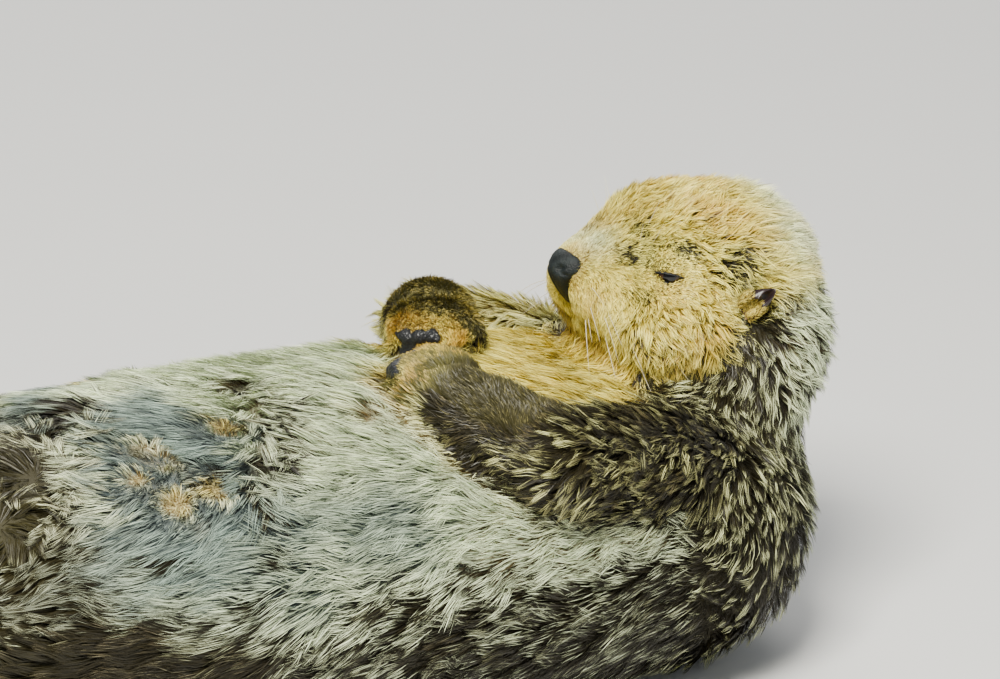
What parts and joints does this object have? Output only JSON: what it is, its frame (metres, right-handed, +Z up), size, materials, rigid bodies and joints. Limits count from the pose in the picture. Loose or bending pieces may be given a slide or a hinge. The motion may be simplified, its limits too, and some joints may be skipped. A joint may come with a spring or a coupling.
{
  "type": "sea otter",
  "caption": "Life-size still model of a pale-headed adult sea otter floating on its back, head raised, forepaws together on the chest, hind feet up, tail laid flat.",
  "frame": {"origin": "centre of the footprint of the box, on the floor", "axes": "+X from the tail to the head, +Y to the animal's right, as it lies on its back, +Z up"},
  "size_m": [1.0666, 0.3424, 0.2774],
  "materials": {
    "cream_coat": "short dense fur, pale golden cream",
    "grizzled_coat": "wet fur in locks, grey-brown with cream tips",
    "silver_coat": "long wet fur, silver over dark brown",
    "brown_coat": "dense dark brown fur",
    "olive_coat": "short dense olive-brown fur",
    "nose_skin": "moist slate-black skin",
    "eye_gloss": "wet, glossy, dark brown",
    "claw_horn": "dark horn, half gloss"
  },
  "bodies": {
    "root": {"eye_left": "eye_gloss", "ear_left": "brown_coat", "eye_right": "eye_gloss", "ear_right": "brown_coat", "nose": "nose_skin", "head": "cream_coat", "neck": "grizzled_coat", "chest": "cream_coat", "belly": "silver_coat", "hips": "brown_coat", "tail": "brown_coat", "upper_arm_left": "grizzled_coat", "forearm_left": "olive_coat", "forepaw_left": "olive_coat", "upper_arm_right": "grizzled_coat", "forearm_right": "olive_coat", "forepaw_right": "olive_coat", "thigh_left": "brown_coat", "shank_left": "brown_coat", "hind_foot_left": "brown_coat", "claw_left_1": "claw_horn", "claw_left_2": "claw_horn", "claw_left_3": "claw_horn", "claw_left_4": "claw_horn", "claw_left_5": "claw_horn", "thigh_right": "brown_coat", "shank_right": "brown_coat", "hind_foot_right": "brown_coat", "claw_right_1": "claw_horn", "claw_right_2": "claw_horn", "claw_right_3": "claw_horn", "claw_right_4": "claw_horn", "claw_right_5": "claw_horn"}
  },
  "joints": []
}
